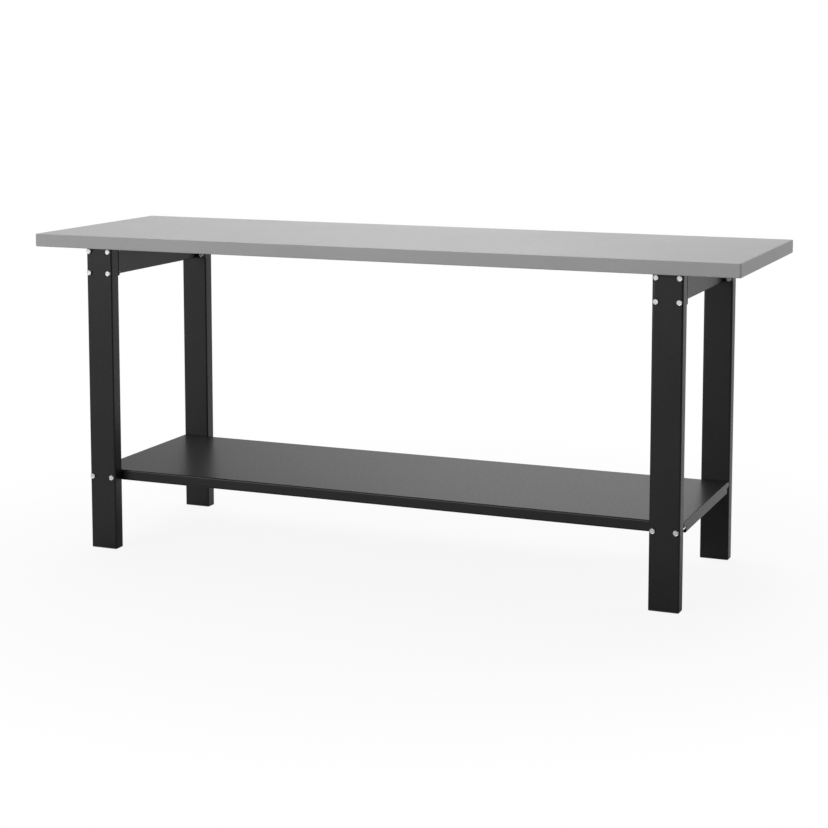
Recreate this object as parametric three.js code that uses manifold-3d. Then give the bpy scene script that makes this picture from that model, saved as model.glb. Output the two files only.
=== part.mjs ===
// Assembly table: a steel-clad worktop on four tube legs, with a cross rail at each end and a folded shelf.
// Millimetres, +Z up, X along the length, front towards -Y, origin on the floor under the table's middle.

import * as THREE from "three";
import { mergeVertices } from "three/addons/utils/BufferGeometryUtils.js";
import Module from "manifold-3d";

const wasm = await Module();
wasm.setup();

// Overall sizes
const tableLength = 2000;
const tableDepth = 640;
const tableHeight = 890;
const endOverhang = 148;
const frontOverhang = 30;
const seatGap = 0.3;

// Worktop: a folded skin over a board
const worktopThickness = 36;
const skinSheet = 2;
const skinBend = 3;
const skinCorner = 5;
const skinLip = 22;
const coreSideGap = 1;

// Legs and their plugs
const legWidth = 80;
const legDepth = 38;
const legWall = 2;
const legCorner = 4.5;
const footFlange = 3;
const footBevel = 0.8;
const footStem = 22;
const footWall = 3;

// Cross rails with a plate welded to each end
const railWidth = 30;
const railHeight = 80;
const railWall = 2;
const railCorner = 4;
const plateThickness = 5;
const plateCorner = 3;
const joinOverlap = 1;
const screwSpacing = 150;
const screwAccessRadius = 9;

// Shelf tray
const shelfTop = 222;
const shelfFlange = 30;
const shelfSheet = 2;
const shelfBend = 4;
const shelfCorner = 4.2;
const shelfLip = 12;
const shelfBoltDrop = 16;
const notchLength = 25;
const notchHeight = 17;
const slitWidth = 1.2;

// Fasteners: M8 bolts and nuts, 6 mm worktop screws
const boltSquare = 60;
const boltRadius = 4;
const boltHoleRadius = 4.5;
const nutBoreRadius = 4.35;
const hexFlats = 13;
const headHeight = 5.3;
const headFlatRadius = 6.1;
const headDishRadius = 3.8;
const headDishDepth = 0.7;
const nutHeight = 6.5;
const boltPointLength = 3;
const boltPointChamfer = 1;
const chamferSlope = Math.tan(THREE.MathUtils.degToRad(30));
const screwRadius = 2.75;
const screwHeadRadius = 6;
const screwHeadHeight = 3;
const screwCrownRadius = 3.6;
const screwRimHeight = 1.2;
const screwGrip = 26;
const screwTip = 5;
const screwHoleRadius = 3.4;

// Fineness of round shapes
const cornerSteps = 4;
const bendSteps = 3;
const roundSides = 12;
const screwSides = 8;
const headTurn = THREE.MathUtils.degToRad(37);

// Places that follow from the sizes above
const worktopUnderside = tableHeight - worktopThickness;
const legCentreX = tableLength / 2 - endOverhang - legWidth / 2;
const legCentreY = tableDepth / 2 - frontOverhang - legDepth / 2;
const legInnerY = legCentreY - legDepth / 2;
const railLength = 2 * (legInnerY - seatGap);
const railCentreZ = worktopUnderside - railHeight / 2;
const shelfLength = tableLength - 2 * endOverhang;
const shelfDepth = railLength;
const shelfBoltZ = shelfTop - shelfBoltDrop;
const railBoltLength = legDepth + 3 * seatGap + plateThickness + nutHeight + boltPointLength;
const shelfBoltLength = legDepth + 2 * seatGap + shelfSheet + nutHeight + boltPointLength;

// Joining and cutting of closed shapes
function solidOf(geometry) {
  const bare = geometry.clone();
  bare.deleteAttribute("normal");
  bare.deleteAttribute("uv");
  const welded = mergeVertices(bare);
  return new wasm.Manifold(new wasm.Mesh({
    numProp: 3,
    vertProperties: Float32Array.from(welded.attributes.position.array),
    triVerts: Uint32Array.from(welded.index.array),
  }));
}

function geometryOf(solid) {
  const mesh = solid.getMesh();
  const geometry = new THREE.BufferGeometry();
  geometry.setAttribute("position", new THREE.BufferAttribute(mesh.vertProperties, 3));
  geometry.setIndex(new THREE.BufferAttribute(mesh.triVerts, 1));
  const faceted = geometry.toNonIndexed();
  faceted.computeVertexNormals();
  return faceted;
}

// Outline of a rectangle with round corners, centred on the origin
function roundedOutline(width, depth, radius) {
  const points = [];
  const corners = [[1, 1], [-1, 1], [-1, -1], [1, -1]];
  corners.forEach(([sideX, sideY], quarter) => {
    for (let step = 0; step <= cornerSteps; step++) {
      const angle = (quarter + step / cornerSteps) * Math.PI / 2;
      const x = sideX * (width / 2 - radius) + radius * Math.cos(angle);
      const y = sideY * (depth / 2 - radius) + radius * Math.sin(angle);
      points.push(new THREE.Vector2(x, y));
    }
  });
  return points;
}

// Upright block with round corners, standing on z = 0, its upper and lower edges rounded by the bend
function roundedBlock(width, depth, height, corner, bend = 0, steps = bendSteps) {
  const shape = new THREE.Shape(roundedOutline(width, depth, corner));
  const geometry = new THREE.ExtrudeGeometry(shape, {
    depth: height - 2 * bend,
    bevelEnabled: bend > 0,
    bevelThickness: bend,
    bevelSize: bend,
    bevelOffset: -bend,
    bevelSegments: steps,
  });
  return geometry.translate(0, 0, bend);
}

// Upright rectangular tube with round corners, open at both ends; it stands on z = 0
function tube(width, depth, height, corner, wall) {
  const shape = new THREE.Shape(roundedOutline(width, depth, corner));
  shape.holes.push(new THREE.Path(roundedOutline(width - 2 * wall, depth - 2 * wall, corner - wall)));
  return new THREE.ExtrudeGeometry(shape, { depth: height, bevelEnabled: false });
}

// Lays an upright shape along Y, centred on y = 0, so that its own y becomes the height
function alongY(geometry, length) {
  return geometry.rotateX(Math.PI / 2).translate(0, length / 2, 0);
}

// Round rods for holes, centred on the given point
function rodAlongY(radius, length, x, y, z) {
  return solidOf(new THREE.CylinderGeometry(radius, radius, length, roundSides).translate(x, y, z));
}

function rodAlongZ(radius, length, x, y, z) {
  const rod = new THREE.CylinderGeometry(radius, radius, length, roundSides);
  return solidOf(rod.rotateX(Math.PI / 2).translate(x, y, z));
}

function box(width, depth, height, x, y, z) {
  return solidOf(new THREE.BoxGeometry(width, depth, height).translate(x, y, z));
}

function withoutAll(solid, cutters) {
  return cutters.reduce((left, cutter) => left.subtract(cutter), solid);
}

function withAll(solid, additions) {
  return additions.reduce((joined, addition) => joined.add(addition), solid);
}

// Upside-down sheet tray with its edges folded down and a lip folded in; it stands on z = 0
function foldedTray(length, depth, height, sheet, bend, corner, lip) {
  const outside = solidOf(roundedBlock(length, depth, height, corner, bend));
  const hollow = roundedBlock(
    length - 2 * sheet, depth - 2 * sheet, height - 2 * sheet, corner - sheet, bend - sheet, 1);
  const mouthLength = length - 2 * (sheet + lip);
  const mouthDepth = depth - 2 * (sheet + lip);
  const mouth = box(mouthLength, mouthDepth, 2 * (sheet + bend), 0, 0, 0);
  return outside.subtract(solidOf(hollow.translate(0, 0, sheet))).subtract(mouth);
}

const sides = [-1, 1];
const screwPlaces = [-screwSpacing, 0, screwSpacing];

// Worktop skin: its bends and corners are rounded and its lip holds the board in
function worktopSkin() {
  const tray = foldedTray(
    tableLength, tableDepth, worktopThickness, skinSheet, skinBend, skinCorner, skinLip);
  return geometryOf(tray);
}

// Board in the skin, rebated for the lip, with pilot holes for the screws
function worktopCore() {
  const gap = 2 * (skinSheet + coreSideGap);
  const thickness = worktopThickness - 2 * (skinSheet + seatGap);
  const board = roundedBlock(tableLength - gap, tableDepth - gap, thickness, skinCorner - skinSheet);
  const stepGap = gap + 2 * (skinLip + coreSideGap);
  const stepDepth = skinSheet + joinOverlap;
  const step = roundedBlock(tableLength - stepGap, tableDepth - stepGap, stepDepth, skinCorner);
  const upper = solidOf(board.translate(0, 0, skinSheet + seatGap));
  const solid = upper.add(solidOf(step.translate(0, 0, seatGap)));
  const pilots = [];
  for (const side of sides) {
    for (const place of screwPlaces) {
      pilots.push(rodAlongZ(screwHoleRadius, 2 * (screwGrip + seatGap), side * legCentreX, place, 0));
    }
  }
  return geometryOf(withoutAll(solid, pilots));
}

// Heights of the bolt rows on a leg, above the floor
const railBoltRows = sides.map((side) => railCentreZ + side * boltSquare / 2);
const boltColumns = sides.map((side) => side * boltSquare / 2);

// Leg tube, drilled through both walls for every bolt; its own z = 0 is the floor
function leg() {
  const foot = footFlange + seatGap;
  const post = tube(legWidth, legDepth, worktopUnderside - foot, legCorner, legWall);
  const solid = solidOf(post.translate(0, 0, foot));
  const holes = [];
  for (const height of [...railBoltRows, shelfBoltZ]) {
    for (const column of boltColumns) {
      holes.push(rodAlongY(boltHoleRadius, 2 * legDepth, column, 0, height));
    }
  }
  return geometryOf(withoutAll(solid, holes));
}

// Plug in the foot of a leg: a flange under the tube and a hollow stem inside it
function footPlug() {
  const flange = roundedBlock(legWidth, legDepth, footFlange, legCorner, footBevel, 1);
  const stemGap = 2 * (legWall + seatGap);
  const stem = tube(
    legWidth - stemGap, legDepth - stemGap, footStem + joinOverlap, legCorner - legWall, footWall);
  return geometryOf(solidOf(flange).add(solidOf(stem.translate(0, 0, footFlange - joinOverlap))));
}

// Cross rail: a tube between two drilled plates, with screw holes above and access holes below
function rail() {
  const tubeLength = railLength - 2 * (plateThickness - joinOverlap);
  const beam = solidOf(alongY(tube(railWidth, railHeight, tubeLength, railCorner, railWall), tubeLength));
  const plates = sides.map((side) => {
    const plate = alongY(roundedBlock(legWidth, railHeight, plateThickness, plateCorner), plateThickness);
    return solidOf(plate.translate(0, side * (railLength - plateThickness) / 2, 0));
  });
  const holes = [];
  for (const row of boltColumns) {
    for (const column of boltColumns) {
      holes.push(rodAlongY(boltHoleRadius, 2 * railLength, column, 0, row));
    }
  }
  for (const place of screwPlaces) {
    holes.push(rodAlongZ(screwHoleRadius, 4 * railWall, 0, place, railHeight / 2));
    holes.push(rodAlongZ(screwAccessRadius, 4 * railWall, 0, place, -railHeight / 2));
  }
  return geometryOf(withoutAll(withAll(beam, plates), holes));
}

// Six-sided prism with two flats facing left and right, standing on z = 0
function hexPrism(height) {
  const prism = new THREE.CylinderGeometry(
    hexFlats / Math.sqrt(3), hexFlats / Math.sqrt(3), height, 6);
  return prism.rotateX(Math.PI / 2).translate(0, 0, height / 2);
}

// Round body that chamfers the corners of a prism on its upper side
function chamferBody(height, centreHeight, dishRadius) {
  const reach = hexFlats;
  const profile = [
    new THREE.Vector2(0, -height),
    new THREE.Vector2(reach, -height),
    new THREE.Vector2(reach, height - (reach - headFlatRadius) * chamferSlope),
    new THREE.Vector2(headFlatRadius, height),
    new THREE.Vector2(dishRadius, height),
    new THREE.Vector2(0, centreHeight),
  ];
  return solidOf(new THREE.LatheGeometry(profile, roundSides).rotateX(Math.PI / 2));
}

// Hexagon bolt: head upwards from z = 0 with a dished top, shank downwards with a chamfered point
function bolt(length) {
  const dish = chamferBody(headHeight, headHeight - headDishDepth, headDishRadius);
  const head = solidOf(hexPrism(headHeight)).intersect(dish);
  const profile = [
    new THREE.Vector2(0, -length),
    new THREE.Vector2(boltRadius - boltPointChamfer, -length),
    new THREE.Vector2(boltRadius, -length + boltPointChamfer),
    new THREE.Vector2(boltRadius, joinOverlap),
    new THREE.Vector2(0, joinOverlap),
  ];
  const shank = new THREE.LatheGeometry(profile, roundSides).rotateX(Math.PI / 2);
  return geometryOf(head.add(solidOf(shank)));
}

// Hexagon nut standing on z = 0, chamfered on its upper side
function nutSolid(height) {
  const outside = solidOf(hexPrism(height)).intersect(chamferBody(height, height, headDishRadius));
  return outside.subtract(rodAlongZ(nutBoreRadius, 4 * height, 0, 0, 0));
}

// Shelf: a folded tray, notched beside the legs, with weld nuts behind its front and rear flanges
function shelf() {
  const tray = foldedTray(
    shelfLength, shelfDepth, shelfFlange, shelfSheet, shelfBend, shelfCorner, shelfLip);
  const nuts = [];
  const cuts = [];
  const boltHeight = shelfFlange - shelfBoltDrop;
  const flangeInnerY = shelfDepth / 2 - shelfSheet;
  for (const sideX of sides) {
    for (const sideY of sides) {
      for (const column of boltColumns) {
        const x = sideX * legCentreX + column;
        const nut = geometryOf(nutSolid(nutHeight + joinOverlap)).rotateX(sideY * Math.PI / 2);
        nuts.push(solidOf(nut.translate(x, sideY * (flangeInnerY + joinOverlap), boltHeight)));
        cuts.push(rodAlongY(nutBoreRadius, 4 * nutHeight, x, sideY * flangeInnerY, boltHeight));
      }
      const notchDepth = shelfSheet + shelfLip;
      const notchX = sideX * (shelfLength - notchDepth) / 2;
      const notchY = sideY * (flangeInnerY - notchLength / 2);
      cuts.push(box(2 * notchDepth, notchLength, 2 * notchHeight, notchX, notchY, 0));
      const slitX = sideX * shelfLength / 2;
      const slitY = sideY * (flangeInnerY - slitWidth / 2);
      const slitHeight = shelfFlange - shelfBend;
      cuts.push(box(4 * shelfSheet, slitWidth, 2 * slitHeight, slitX, slitY, 0));
    }
  }
  return geometryOf(withoutAll(withAll(tray, nuts), cuts));
}

// Worktop screw: pan head below z = 0, shank and point upwards
function screw() {
  const profile = [
    new THREE.Vector2(0, -screwHeadHeight),
    new THREE.Vector2(screwCrownRadius, -screwHeadHeight),
    new THREE.Vector2(screwHeadRadius, -screwRimHeight),
    new THREE.Vector2(screwHeadRadius, 0),
    new THREE.Vector2(screwRadius, 0),
    new THREE.Vector2(screwRadius, screwGrip - screwTip),
    new THREE.Vector2(0, screwGrip),
  ];
  return new THREE.LatheGeometry(profile, screwSides).rotateX(Math.PI / 2);
}

// Finishes
const finishes = {
  greyPaint: { color: 0xbcbcbc, roughness: 0.45, metalness: 0.0 },
  blackPaint: { color: 0x2a2a2b, roughness: 0.4, metalness: 0.0 },
  board: { color: 0xa98a63, roughness: 0.85, metalness: 0.0 },
  plastic: { color: 0x161616, roughness: 0.6, metalness: 0.0 },
  zinc: { color: 0xd3d5d6, roughness: 0.3, metalness: 1.0 },
};

const table = new THREE.Group();

function place(parent, name, geometry, finish, x, y, z, turn = 0) {
  const mesh = new THREE.Mesh(geometry, new THREE.MeshStandardMaterial(finishes[finish]));
  mesh.name = name;
  mesh.position.set(x, y, z);
  mesh.rotation.z = turn;
  parent.add(mesh);
}

place(table, "worktop_skin", worktopSkin(), "greyPaint", 0, 0, worktopUnderside);
place(table, "worktop_core", worktopCore(), "board", 0, 0, worktopUnderside);
place(table, "shelf", shelf(), "blackPaint", 0, 0, shelfTop - shelfFlange);

const legShape = leg();
const footShape = footPlug();
const railShape = rail();
const screwShape = screw();
const nutShape = geometryOf(nutSolid(nutHeight)).rotateX(Math.PI);
const railBoltShape = bolt(railBoltLength);
const shelfBoltShape = bolt(shelfBoltLength);
const endNames = { "-1": "left", "1": "right" };
const faceNames = { "-1": "front", "1": "rear" };

for (const sideX of sides) {
  const end = endNames[sideX];
  place(table, `rail_${end}`, railShape.clone(), "blackPaint", sideX * legCentreX, 0, railCentreZ);
  screwPlaces.forEach((y, count) => {
    const screwSeat = worktopUnderside - railWall - seatGap;
    place(table, `screw_${end}_${count + 1}`, screwShape.clone(), "zinc", sideX * legCentreX, y, screwSeat);
  });

  for (const sideY of sides) {
    const corner = `${faceNames[sideY]}_${end}`;
    const station = new THREE.Group();
    station.position.set(sideX * legCentreX, sideY * legCentreY, 0);
    table.add(station);
    place(station, `leg_${corner}`, legShape.clone(), "blackPaint", 0, 0, 0);
    place(station, `foot_${corner}`, footShape.clone(), "plastic", 0, 0, 0);

    // Bolts point inwards: their own z axis is turned to look out of the leg's outer face
    const fasteners = new THREE.Group();
    fasteners.rotation.x = -sideY * Math.PI / 2;
    station.add(fasteners);
    const headSeat = legDepth / 2 + seatGap;
    const nutSeat = -(legDepth / 2 + 2 * seatGap + plateThickness);
    let count = 0;
    for (const height of railBoltRows) {
      for (const column of boltColumns) {
        count += 1;
        const name = `${corner}_${count}`;
        const across = -sideY * height;
        const turn = count * headTurn;
        const boltName = `bolt_rail_${name}`;
        place(fasteners, boltName, railBoltShape.clone(), "zinc", column, across, headSeat, turn);
        place(fasteners, `nut_rail_${name}`, nutShape.clone(), "zinc", column, across, nutSeat, -turn);
      }
    }
    for (const column of boltColumns) {
      count += 1;
      const name = `bolt_shelf_${corner}_${count}`;
      const across = -sideY * shelfBoltZ;
      place(fasteners, name, shelfBoltShape.clone(), "zinc", column, across, headSeat, count * headTurn);
    }
  }
}

export default table;
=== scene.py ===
import math
import bpy
from mathutils import Matrix, Vector


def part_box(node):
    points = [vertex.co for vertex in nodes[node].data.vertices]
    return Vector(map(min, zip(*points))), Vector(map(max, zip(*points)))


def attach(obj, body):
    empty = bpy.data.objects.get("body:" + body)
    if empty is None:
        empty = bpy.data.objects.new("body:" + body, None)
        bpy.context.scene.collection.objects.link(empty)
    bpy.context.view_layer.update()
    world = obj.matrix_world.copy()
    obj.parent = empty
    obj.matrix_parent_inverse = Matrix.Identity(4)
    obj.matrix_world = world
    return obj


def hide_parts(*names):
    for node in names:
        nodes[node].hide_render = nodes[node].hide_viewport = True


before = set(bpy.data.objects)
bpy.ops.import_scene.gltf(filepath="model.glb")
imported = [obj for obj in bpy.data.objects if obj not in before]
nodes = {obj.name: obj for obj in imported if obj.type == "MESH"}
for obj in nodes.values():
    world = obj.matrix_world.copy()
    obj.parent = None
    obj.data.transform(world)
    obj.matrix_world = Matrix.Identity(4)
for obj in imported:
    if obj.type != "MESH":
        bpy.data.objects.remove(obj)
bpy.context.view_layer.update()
body = "root"
flatness = 1e-6  # metres: how level an edge has to be
upright = 0.999  # upward share of a level face's normal
print("frame loaded:", len(nodes), "solids")


# Modelling helpers

def deselectAll():
    if bpy.context.object and bpy.context.object.mode != "OBJECT":
        bpy.ops.object.mode_set(mode="OBJECT")
    bpy.ops.object.select_all(action="DESELECT")


def activate(piece):
    deselectAll()
    piece.select_set(True)
    bpy.context.view_layer.objects.active = piece


def applyPlace(piece):
    activate(piece)
    bpy.ops.object.transform_apply(location=True, rotation=True, scale=True)


def addBlock(name, low, high):
    deselectAll()
    bpy.ops.mesh.primitive_cube_add(size=1, location=(low + high) / 2, scale=high - low)
    piece = bpy.context.object
    piece.name = name
    applyPlace(piece)
    return piece


def addRod(name, sides, radius, start, depth):
    deselectAll()
    bpy.ops.mesh.primitive_cylinder_add(vertices=sides, radius=radius, depth=depth,
                                        location=(0, 0, start + depth / 2))
    piece = bpy.context.object
    piece.name = name
    applyPlace(piece)
    return piece


def clearSelection(piece, kind):
    activate(piece)
    bpy.ops.object.mode_set(mode="EDIT")
    bpy.ops.mesh.select_mode(type=kind)
    bpy.ops.mesh.select_all(action="DESELECT")
    bpy.ops.object.mode_set(mode="OBJECT")


def editLevelFaces(piece, facing):
    clearSelection(piece, "FACE")
    for face in piece.data.polygons:
        face.select = face.normal.z * facing > upright
    bpy.ops.object.mode_set(mode="EDIT")


def editEdges(piece, wanted):
    clearSelection(piece, "EDGE")
    points = piece.data.vertices
    for edge in piece.data.edges:
        start, end = (points[i].co.z for i in edge.vertices)
        edge.select = wanted(start, end)
    bpy.ops.object.mode_set(mode="EDIT")


def leaveEdit():
    bpy.ops.object.mode_set(mode="OBJECT")


def extrudeUp(height):
    bpy.ops.mesh.extrude_region_move(TRANSFORM_OT_translate={"value": (0, 0, height)})


def resizeFlat(x, y):
    bpy.ops.transform.resize(value=(x, y, 1), center_override=(0, 0, 0))


def addRidges(piece, count, pitch, thin):
    editLevelFaces(piece, -1)
    for ridge in range(count):
        for factor in (thin, 1 / thin):
            extrudeUp(-pitch / 2)
            resizeFlat(factor, factor)
    resizeFlat(thin, thin)
    leaveEdit()


def combine(piece, tool, operation):
    activate(piece)
    cut = piece.modifiers.new("cut", "BOOLEAN")
    cut.operation = operation
    cut.object = tool
    bpy.ops.object.modifier_apply(modifier=cut.name)
    bpy.data.objects.remove(tool)


def joinTo(piece, others):
    activate(piece)
    for other in others:
        other.select_set(True)
    bpy.ops.object.join()


def smooth(piece, degrees):
    activate(piece)
    bpy.ops.object.shade_smooth_by_angle(angle=math.radians(degrees))
    weigh = piece.modifiers.new("even faces", "WEIGHTED_NORMAL")
    weigh.keep_sharp = True
    bpy.ops.object.modifier_apply(modifier=weigh.name)


def layAlongY(piece):
    piece.matrix_world = Matrix.Rotation(math.pi / 2, 4, "X")  # +Z turns to face -Y
    applyPlace(piece)


def copyPiece(master, name, turn, place):
    piece = master.copy()
    piece.data = master.data.copy()
    piece.name = name
    bpy.context.scene.collection.objects.link(piece)
    piece.matrix_world = Matrix.Translation(place) @ Matrix.Rotation(turn, 4, "Z")
    applyPlace(piece)
    return piece


# Node helpers for the finishes and the light

noiseSpan = (0.3, 0.7)  # where nearly all values of a noise lie


def newFinish(name):
    finish = bpy.data.materials.new(name)
    finish.use_nodes = True
    tree = finish.node_tree
    return finish, tree, tree.nodes["Principled BSDF"]


def addNode(tree, kind, **values):
    node = tree.nodes.new(kind)
    for key, value in values.items():
        node.inputs[key.replace("_", " ")].default_value = value
    return node


def mathNode(tree, operation, first, second):
    node = tree.nodes.new("ShaderNodeMath")
    node.operation = operation
    for socket, value in zip(node.inputs, (first, second)):
        if isinstance(value, (int, float)):
            socket.default_value = value
        else:
            tree.links.new(value, socket)
    return node.outputs[0]


def objectNoise(tree, scale, detail, stretch=(1, 1, 1)):
    coords = tree.nodes.new("ShaderNodeTexCoord")
    mapping = addNode(tree, "ShaderNodeMapping", Scale=stretch)
    noise = addNode(tree, "ShaderNodeTexNoise", Scale=scale, Detail=detail)
    tree.links.new(coords.outputs["Object"], mapping.inputs["Vector"])
    tree.links.new(mapping.outputs["Vector"], noise.inputs["Vector"])
    return noise.outputs["Fac"]


def spread(tree, value, span, levels):
    ranged = addNode(tree, "ShaderNodeMapRange", From_Min=span[0], From_Max=span[1],
                     To_Min=levels[0], To_Max=levels[1])
    tree.links.new(value, ranged.inputs["Value"])
    return ranged.outputs["Result"]


def tintFrom(tree, shader, value, places, colours):
    ramp = tree.nodes.new("ShaderNodeValToRGB")
    tones = ramp.color_ramp.elements
    while len(tones) < len(colours):
        tones.new(1)
    for tone, place, colour in zip(tones, places, colours):
        tone.position = place
        tone.color = (*colour, 1)
    tree.links.new(value, ramp.inputs["Fac"])
    tree.links.new(ramp.outputs["Color"], shader.inputs["Base Color"])


def roughFrom(tree, shader, value, levels):
    tree.links.new(spread(tree, value, noiseSpan, levels), shader.inputs["Roughness"])


def bumpFrom(tree, shader, height, strength, depth):
    bump = addNode(tree, "ShaderNodeBump", Strength=strength, Distance=depth)
    tree.links.new(height, bump.inputs["Height"])
    tree.links.new(bump.outputs["Normal"], shader.inputs["Normal"])


# Finishes: each noise is a scale and a detail, each bump a strength and a depth in metres

powderCoat = {
    "cloud": (5, 4),
    "speck": (140, 3),
    "peel": (420, 2),  # orange peel, about 2 mm across
    "peelBump": (0.2, 0.00004),
    "greyTones": ((0.316, 0.316, 0.316), (0.334, 0.334, 0.334)),
    "greyRough": (0.42, 0.52),
    "greyGloss": 0.34,
    "blackTones": ((0.0045, 0.0045, 0.0045), (0.008, 0.008, 0.008)),
    "blackRough": (0.30, 0.37),
    "blackGloss": 0.3,
}


def coatedSteel(name, colour):
    finish, tree, shader = newFinish(name)
    cloud = objectNoise(tree, *powderCoat["cloud"])
    speck = objectNoise(tree, *powderCoat["speck"])
    peel = objectNoise(tree, *powderCoat["peel"])
    tintFrom(tree, shader, cloud, noiseSpan, powderCoat[colour + "Tones"])
    roughFrom(tree, shader, speck, powderCoat[colour + "Rough"])
    shader.inputs["Specular IOR Level"].default_value = powderCoat[colour + "Gloss"]
    bumpFrom(tree, shader, peel, *powderCoat["peelBump"])
    return finish


plating = {
    "patch": (260, 4),
    "streak": (6, 3),
    "streakStretch": (60, 400, 60),
    "streakBump": (0.2, 0.0001),
    "tones": ((0.46, 0.46, 0.465), (0.64, 0.645, 0.65)),
    "rough": (0.34, 0.48),
}


def zincPlate():
    finish, tree, shader = newFinish("zincPlate")
    patch = objectNoise(tree, *plating["patch"])
    streak = objectNoise(tree, *plating["streak"], plating["streakStretch"])
    tintFrom(tree, shader, patch, noiseSpan, plating["tones"])
    roughFrom(tree, shader, patch, plating["rough"])
    shader.inputs["Metallic"].default_value = 1
    bumpFrom(tree, shader, streak, *plating["streakBump"])
    return finish


fibreboard = {
    "fleckScale": 320,
    "fleckBump": (0.4, 0.0004),
    "grain": (90, 5),
    "grainStretch": (1, 3, 1),
    "places": (0.2, 0.5, 0.8),
    "tones": ((0.27, 0.18, 0.10), (0.37, 0.26, 0.15), (0.47, 0.35, 0.22)),
    "rough": (0.65, 0.85),
}


def pressedBoard():
    finish, tree, shader = newFinish("pressedBoard")
    coords = tree.nodes.new("ShaderNodeTexCoord")
    flecks = addNode(tree, "ShaderNodeTexVoronoi", Scale=fibreboard["fleckScale"])
    tree.links.new(coords.outputs["Object"], flecks.inputs["Vector"])
    grain = objectNoise(tree, *fibreboard["grain"], fibreboard["grainStretch"])
    tintFrom(tree, shader, flecks.outputs["Color"], fibreboard["places"], fibreboard["tones"])
    roughFrom(tree, shader, grain, fibreboard["rough"])
    bumpFrom(tree, shader, flecks.outputs["Distance"], *fibreboard["fleckBump"])
    return finish


moulding = {
    "cloud": (60, 3),
    "grain": (1500, 2),
    "grainBump": (0.3, 0.0001),
    "tones": ((0.008, 0.008, 0.009), (0.018, 0.018, 0.019)),
    "rough": (0.45, 0.6),
}


def mouldedPlastic():
    finish, tree, shader = newFinish("mouldedPlastic")
    cloud = objectNoise(tree, *moulding["cloud"])
    grain = objectNoise(tree, *moulding["grain"])
    tintFrom(tree, shader, cloud, noiseSpan, moulding["tones"])
    roughFrom(tree, shader, grain, moulding["rough"])
    bumpFrom(tree, shader, grain, *moulding["grainBump"])
    return finish


finishes = {
    "grey_paint": coatedSteel("greyPaint", "grey"),
    "black_paint": coatedSteel("blackPaint", "black"),
    "zinc": zincPlate(),
    "board": pressedBoard(),
    "black_plastic": mouldedPlastic(),
}
slotsByStart = {
    "worktop_skin": "grey_paint",
    "worktop_core": "board",
    "leg": "black_paint",
    "rail": "black_paint",
    "shelf": "black_paint",
    "foot": "black_plastic",
    "bolt": "zinc",
    "nut": "zinc",
    "screw": "zinc",
}


def slotOf(node):
    return next(slot for start, slot in slotsByStart.items() if node.startswith(start))


def wear(piece, slotName):
    piece.data.materials.clear()
    piece.data.materials.append(finishes[slotName])
    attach(piece, body)


def standFor(piece, node):
    wear(piece, slotOf(node))
    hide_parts(node)


for name, node in nodes.items():
    node.data.materials.clear()
    node.data.materials.append(finishes[slotOf(name)])
print("finishes:", ", ".join(finishes))


# Folded sheet: rounded bends, open below, with a lip turned in all round

def foldedSheet(name, node, sizes):
    low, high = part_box(node)
    sheet = sizes["sheet"]
    flat = high - Vector((1, 1, 0)) * sizes["bend"]  # where the bends start
    mouth = high - Vector((1, 1, 0)) * sizes["lip"]
    pocket = high - Vector((1, 1, 0)) * sheet
    piece = addBlock(name, low, high)
    editEdges(piece, lambda start, end: abs(start - end) > sheet)
    bpy.ops.mesh.bevel(offset=sizes["corner"], segments=sizes["segments"], affect="EDGES")
    leaveEdit()
    editEdges(piece, lambda start, end: abs(start - end) < flatness)
    bpy.ops.mesh.bevel(offset=sizes["bend"], segments=sizes["segments"], affect="EDGES")
    leaveEdit()
    editLevelFaces(piece, -1)
    bpy.ops.mesh.extrude_region()  # lip turned in below
    resizeFlat(mouth.x / flat.x, mouth.y / flat.y)
    extrudeUp(sheet)
    bpy.ops.mesh.extrude_region()  # upper side of the lip
    resizeFlat(pocket.x / mouth.x, pocket.y / mouth.y)
    extrudeUp(high.z - low.z - 2 * sheet)
    leaveEdit()
    return piece


worktop = {
    "sheet": 0.002,
    "corner": 0.005,
    "bend": 0.003,
    "lip": 0.022,
    "segments": 6,
    "smoothAngle": 40,
}

skin = foldedSheet("worktop_skin_folded", "worktop_skin", worktop)
smooth(skin, worktop["smoothAngle"])
standFor(skin, "worktop_skin")
print("worktop skin folded")


# Legs, rails and feet: the solids, merged and smooth

tubes = {
    "smoothAngles": {"leg": 40, "rail": 40, "foot": 35},
    "mergeGap": 0.00002,
}


def mergedCopy(name, node):
    piece = nodes[node].copy()
    piece.data = nodes[node].data.copy()
    piece.name = name
    for key in list(piece.keys()):
        del piece[key]
    piece.parent = None
    bpy.context.scene.collection.objects.link(piece)
    activate(piece)
    bpy.ops.object.mode_set(mode="EDIT")
    bpy.ops.mesh.select_all(action="SELECT")
    bpy.ops.mesh.remove_doubles(threshold=tubes["mergeGap"])
    leaveEdit()
    return piece


for name in list(nodes):
    kind = name.split("_")[0]
    if kind in tubes["smoothAngles"]:
        piece = mergedCopy(name + "_smooth", name)
        smooth(piece, tubes["smoothAngles"][kind])
        standFor(piece, name)
print("tubes and feet smoothed")


# Hexagon bolts and nuts, M8

fastener = {
    "flats": 0.013,
    "headHeight": 0.0053,
    "chamfer": 0.0009,
    "rim": 0.0012,
    "dish": 0.0006,
    "shank": 0.004,  # radius
    "pitch": 0.00125,
    "threadDepth": 0.14,  # share of the radius
    "threadTurns": 12,
    "roundSides": 40,
    "smoothAngle": 30,
}


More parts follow.
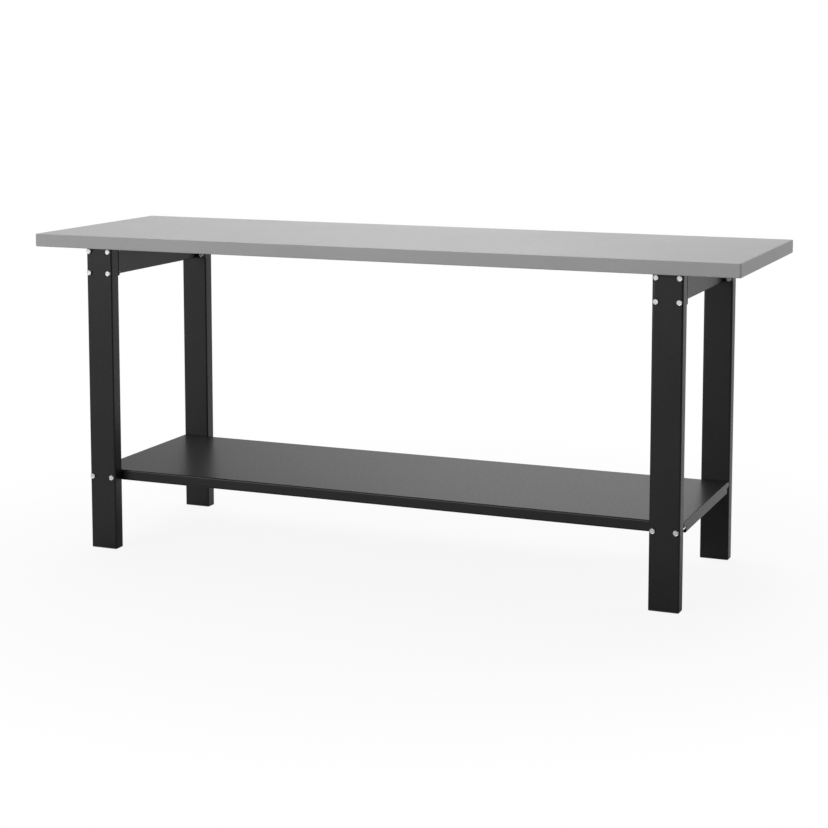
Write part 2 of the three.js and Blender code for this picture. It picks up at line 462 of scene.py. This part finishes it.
def chamferedHexagon(name, height, ends):
    corner = fastener["flats"] / math.sqrt(3)
    tool = addRod("chamfer", fastener["roundSides"], corner, 0, height)
    editEdges(tool, lambda start, end: abs(start - end) < flatness
              and min(abs(start - z) for z in ends) < flatness)
    bpy.ops.mesh.bevel(offset=fastener["chamfer"], segments=1, affect="EDGES")
    leaveEdit()
    piece = addRod(name, 6, corner, 0, height)
    combine(piece, tool, "INTERSECT")
    return piece


def boltMaster(tall):
    head = fastener["headHeight"]
    piece = chamferedHexagon("bolt", head, [head])
    editLevelFaces(piece, 1)
    bpy.ops.mesh.inset(thickness=fastener["rim"])
    bpy.ops.transform.translate(value=(0, 0, -fastener["dish"]))
    leaveEdit()
    plain = tall - head - fastener["threadTurns"] * fastener["pitch"]
    shank = addRod("shank", fastener["roundSides"] // 2, fastener["shank"], -plain, plain)
    addRidges(shank, fastener["threadTurns"], fastener["pitch"], 1 - fastener["threadDepth"])
    joinTo(piece, [shank])
    smooth(piece, fastener["smoothAngle"])
    layAlongY(piece)
    return piece


def nutMaster(tall):
    piece = chamferedHexagon("nut", tall, [0, tall])
    bore = addRod("bore", fastener["roundSides"], fastener["shank"], -tall, 3 * tall)  # right through
    combine(piece, bore, "DIFFERENCE")
    smooth(piece, fastener["smoothAngle"])
    layAlongY(piece)
    return piece


makers = {"bolt_rail": boltMaster, "bolt_shelf": boltMaster, "nut_rail": nutMaster}
masters = {}
for name in list(nodes):
    kind = "_".join(name.split("_")[:2])
    if kind not in makers:
        continue
    low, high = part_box(name)
    middle = (low + high) / 2
    tall = high.y - low.y
    if kind not in masters:
        masters[kind] = makers[kind](tall)
    inward = tall if kind == "nut_rail" else fastener["headHeight"]  # outer face to seat
    if "front" in name:
        seat = Vector((middle.x, low.y + inward, middle.z))
        piece = copyPiece(masters[kind], name + "_plated", 0, seat)
    else:
        seat = Vector((middle.x, high.y - inward, middle.z))
        piece = copyPiece(masters[kind], name + "_plated", math.pi, seat)
    standFor(piece, name)
for master in masters.values():
    bpy.data.objects.remove(master)
print("bolts and nuts set:", ", ".join(masters))


# Shelf: folded tray with open corners, drilled flanges and weld nuts

shelf = {
    "sheet": 0.002,
    "corner": 0.006,
    "bend": 0.0044,
    "lip": 0.012,
    "segments": 8,
    "notch": (0.028, 0.025, 0.034),
    "slit": (0.008, 0.0012, 0.052),
    "boreRadius": 0.00435,
    "boreDepth": 0.016,
    "nutHeight": 0.0065,
    "smoothAngle": 40,
}


def cutBlock(piece, middle, size):
    half = Vector(size) / 2
    combine(piece, addBlock("cut", middle - half, middle + half), "DIFFERENCE")


def drill(piece, place):
    bore = addRod("bore", fastener["roundSides"], shelf["boreRadius"], 0, shelf["boreDepth"])
    layAlongY(bore)
    bore.location = place + Vector((0, shelf["boreDepth"] / 2, 0))
    applyPlace(bore)
    combine(piece, bore, "DIFFERENCE")


def shelfTray():
    low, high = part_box("shelf")
    inner = high.y - shelf["sheet"]
    notchX = high.x - (shelf["sheet"] + shelf["lip"]) / 2
    notchY = inner - shelf["notch"][1] / 2
    slitY = inner - shelf["slit"][1] / 2
    piece = foldedSheet("shelf_folded", "shelf", shelf)
    for sideX in (-1, 1):
        for sideY in (-1, 1):
            cutBlock(piece, Vector((sideX * notchX, sideY * notchY, low.z)), shelf["notch"])
            cutBlock(piece, Vector((sideX * high.x, sideY * slitY, low.z)), shelf["slit"])
    master = nutMaster(shelf["nutHeight"])
    nuts = []
    for bolt in [name for name in nodes if name.startswith("bolt_shelf")]:
        middle = sum(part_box(bolt), Vector()) / 2
        side, turn = (-1, math.pi) if "front" in bolt else (1, 0)
        seat = Vector((middle.x, side * inner, middle.z))
        drill(piece, seat)
        nuts.append(copyPiece(master, "weld_nut", turn, seat))
    joinTo(piece, nuts)
    bpy.data.objects.remove(master)
    smooth(piece, shelf["smoothAngle"])
    return piece


standFor(shelfTray(), "shelf")
print("shelf folded, cut and drilled")


# Weld beads where the rail tubes meet their end plates

weld = {
    "radius": 0.0024,
    "sides": 12,
    "ripple": 0.0022,
    "ripples": 30,
    "waist": 0.84,
    "tubeWidth": 0.030,
    "plate": 0.005,
    "smoothAngle": 60,
}


def weldBead():
    length = weld["ripple"] * weld["ripples"]
    piece = addRod("bead", weld["sides"], weld["radius"], length / 2 - weld["ripple"], weld["ripple"])
    addRidges(piece, weld["ripples"] - 1, weld["ripple"], weld["waist"])
    editLevelFaces(piece, 1)
    resizeFlat(weld["waist"], weld["waist"])
    leaveEdit()
    smooth(piece, weld["smoothAngle"])
    return piece


bead = weldBead()
for end in ("left", "right"):
    low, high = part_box("rail_" + end)
    middle = (low + high) / 2
    for face, y in (("front", low.y + weld["plate"]), ("rear", high.y - weld["plate"])):
        for wall, side in (("a", -1), ("b", 1)):
            spot = Vector((middle.x + side * weld["tubeWidth"] / 2, y, middle.z))
            piece = copyPiece(bead, "weld_" + face + "_" + end + "_" + wall, 0, spot)
            wear(piece, "black_paint")
bpy.data.objects.remove(bead)
print("weld beads laid")


# Floor, light and camera

studio = {
    "floorRadius": 2.8,
    "floorDrop": 0.0005,  # metres below the feet
    "floorSides": 96,
    "floorTone": (0.66, 0.66, 0.66),
    "floorRough": 0.9,
    "shadowShare": 0.10,  # how much of the floor's own shade the camera sees near the table
    "shadowReach": (1.0, 1.7),  # metres from the middle over which that share fades out
    "glossShare": 0.1,
    "worldFill": 0.85,
    "sweepSide": (0.5, 0.866, 0),  # the white sweep stands behind the table
    "sweepSpan": (0.3, 0.62),
    "sweepLevel": 1,
    "footSpan": (-0.10, -0.01),  # the sweep is dimmer where it runs out on the ground
    "footLevel": 0.66,
    "headSpan": (0.44, 0.64),  # and towards its upper end
    "headLevel": 0.4,
    "wallSide": (-0.75, -0.66, 0),  # a pale wall stands at the front left
    "wallSpan": (0.4, 0.95),
    "wallLevel": 0.7,
    "darkLevel": 0.22,  # all other sides
    "lamps": {  # power, place, size
        "key": (395, (-3.4, -7.6, 3.4), 6),
        "top": (166, (-1.25, 1.7, 4.2), 3.6),
        "side": (28, (4.2, 1.8, 1.8), 2),
    },
    "lampAim": (0, 0, 0.5),
}


def rayShare(tree, glossShare):
    path = tree.nodes.new("ShaderNodeLightPath").outputs
    shiny = mathNode(tree, "MAXIMUM", path["Is Glossy Ray"], path["Is Transmission Ray"])
    weaker = mathNode(tree, "MULTIPLY", shiny, glossShare)
    return mathNode(tree, "MAXIMUM", weaker, path["Is Camera Ray"])


def paleFloor():
    deselectAll()
    bpy.ops.mesh.primitive_circle_add(vertices=studio["floorSides"], radius=studio["floorRadius"],
                                      fill_type="NGON", location=(0, 0, -studio["floorDrop"]))
    floor = bpy.context.object
    floor.name = "floor"
    finish, tree, shader = newFinish("paleFloor")
    shader.inputs["Base Color"].default_value = (*studio["floorTone"], 1)
    shader.inputs["Roughness"].default_value = studio["floorRough"]
    coords = tree.nodes.new("ShaderNodeTexCoord")
    away = tree.nodes.new("ShaderNodeVectorMath")
    away.operation = "LENGTH"
    tree.links.new(coords.outputs["Object"], away.inputs[0])
    fade = spread(tree, away.outputs["Value"], studio["shadowReach"], (1 - studio["shadowShare"], 1))
    share = mathNode(tree, "MULTIPLY", rayShare(tree, studio["glossShare"]), fade)
    glow = addNode(tree, "ShaderNodeEmission", Strength=1)
    mix = tree.nodes.new("ShaderNodeMixShader")
    tree.links.new(share, mix.inputs[0])
    tree.links.new(shader.outputs[0], mix.inputs[1])
    tree.links.new(glow.outputs[0], mix.inputs[2])
    tree.links.new(mix.outputs[0], tree.nodes["Material Output"].inputs["Surface"])
    floor.data.materials.append(finish)


def sideLevel(tree, coords, side, span, levels):
    toward = tree.nodes.new("ShaderNodeVectorMath")
    toward.operation = "DOT_PRODUCT"
    toward.inputs[1].default_value = side
    tree.links.new(coords.outputs["Generated"], toward.inputs[0])
    return spread(tree, toward.outputs["Value"], span, levels)


def softWorld():
    world = bpy.data.worlds.new("studio")
    bpy.context.scene.world = world
    world.use_nodes = True
    tree = world.node_tree
    shade = tree.nodes["Background"]
    shade.inputs["Color"].default_value = (1, 1, 1, 1)
    coords = tree.nodes.new("ShaderNodeTexCoord")
    up = (0, 0, 1)
    sweep = sideLevel(tree, coords, studio["sweepSide"], studio["sweepSpan"], (0, studio["sweepLevel"]))
    foot = sideLevel(tree, coords, up, studio["footSpan"], (studio["footLevel"], 1))
    head = sideLevel(tree, coords, up, studio["headSpan"], (1, studio["headLevel"]))
    wall = sideLevel(tree, coords, studio["wallSide"], studio["wallSpan"],
                     (studio["darkLevel"], studio["wallLevel"]))
    band = mathNode(tree, "MULTIPLY", sweep, mathNode(tree, "MULTIPLY", foot, head))
    room = mathNode(tree, "MAXIMUM", band, wall)
    dim = spread(tree, rayShare(tree, 1), (0, 1), (studio["worldFill"], 1))
    lit = mathNode(tree, "MULTIPLY", room, dim)
    path = tree.nodes.new("ShaderNodeLightPath").outputs
    seen = mathNode(tree, "MAXIMUM", lit, path["Is Camera Ray"])  # plain white to the camera
    tree.links.new(seen, shade.inputs["Strength"])


def softLamp(name, power, place, size):
    light = bpy.data.lights.new(name, "AREA")
    light.energy = power
    light.size = size
    lamp = bpy.data.objects.new(name, light)
    bpy.context.scene.collection.objects.link(lamp)
    lamp.location = place
    aim = Vector(studio["lampAim"]) - Vector(place)
    lamp.rotation_euler = aim.to_track_quat("-Z", "Y").to_euler()


paleFloor()
softWorld()
for name, values in studio["lamps"].items():
    softLamp(name, *values)

cameraView = {
    "place": (1.9817, -4.7754, 1.3928),
    "pitch": -0.1094,
    "yaw": 0.3902,
    "focalPixels": 1881.9,
    "framePixels": 828,
    "sensor": 36,
    "shiftUp": -0.186,
}


def photoCamera():
    data = bpy.data.cameras.new("camera")
    data.sensor_width = cameraView["sensor"]
    data.lens = cameraView["focalPixels"] / cameraView["framePixels"] * cameraView["sensor"]
    data.shift_y = cameraView["shiftUp"]
    camera = bpy.data.objects.new("camera", data)
    bpy.context.scene.collection.objects.link(camera)
    camera.location = cameraView["place"]
    camera.rotation_euler = (math.pi / 2 + cameraView["pitch"], 0, cameraView["yaw"])
    bpy.context.scene.camera = camera


photoCamera()
bpy.context.scene.view_settings.view_transform = "Standard"
print("floor, light and camera set")
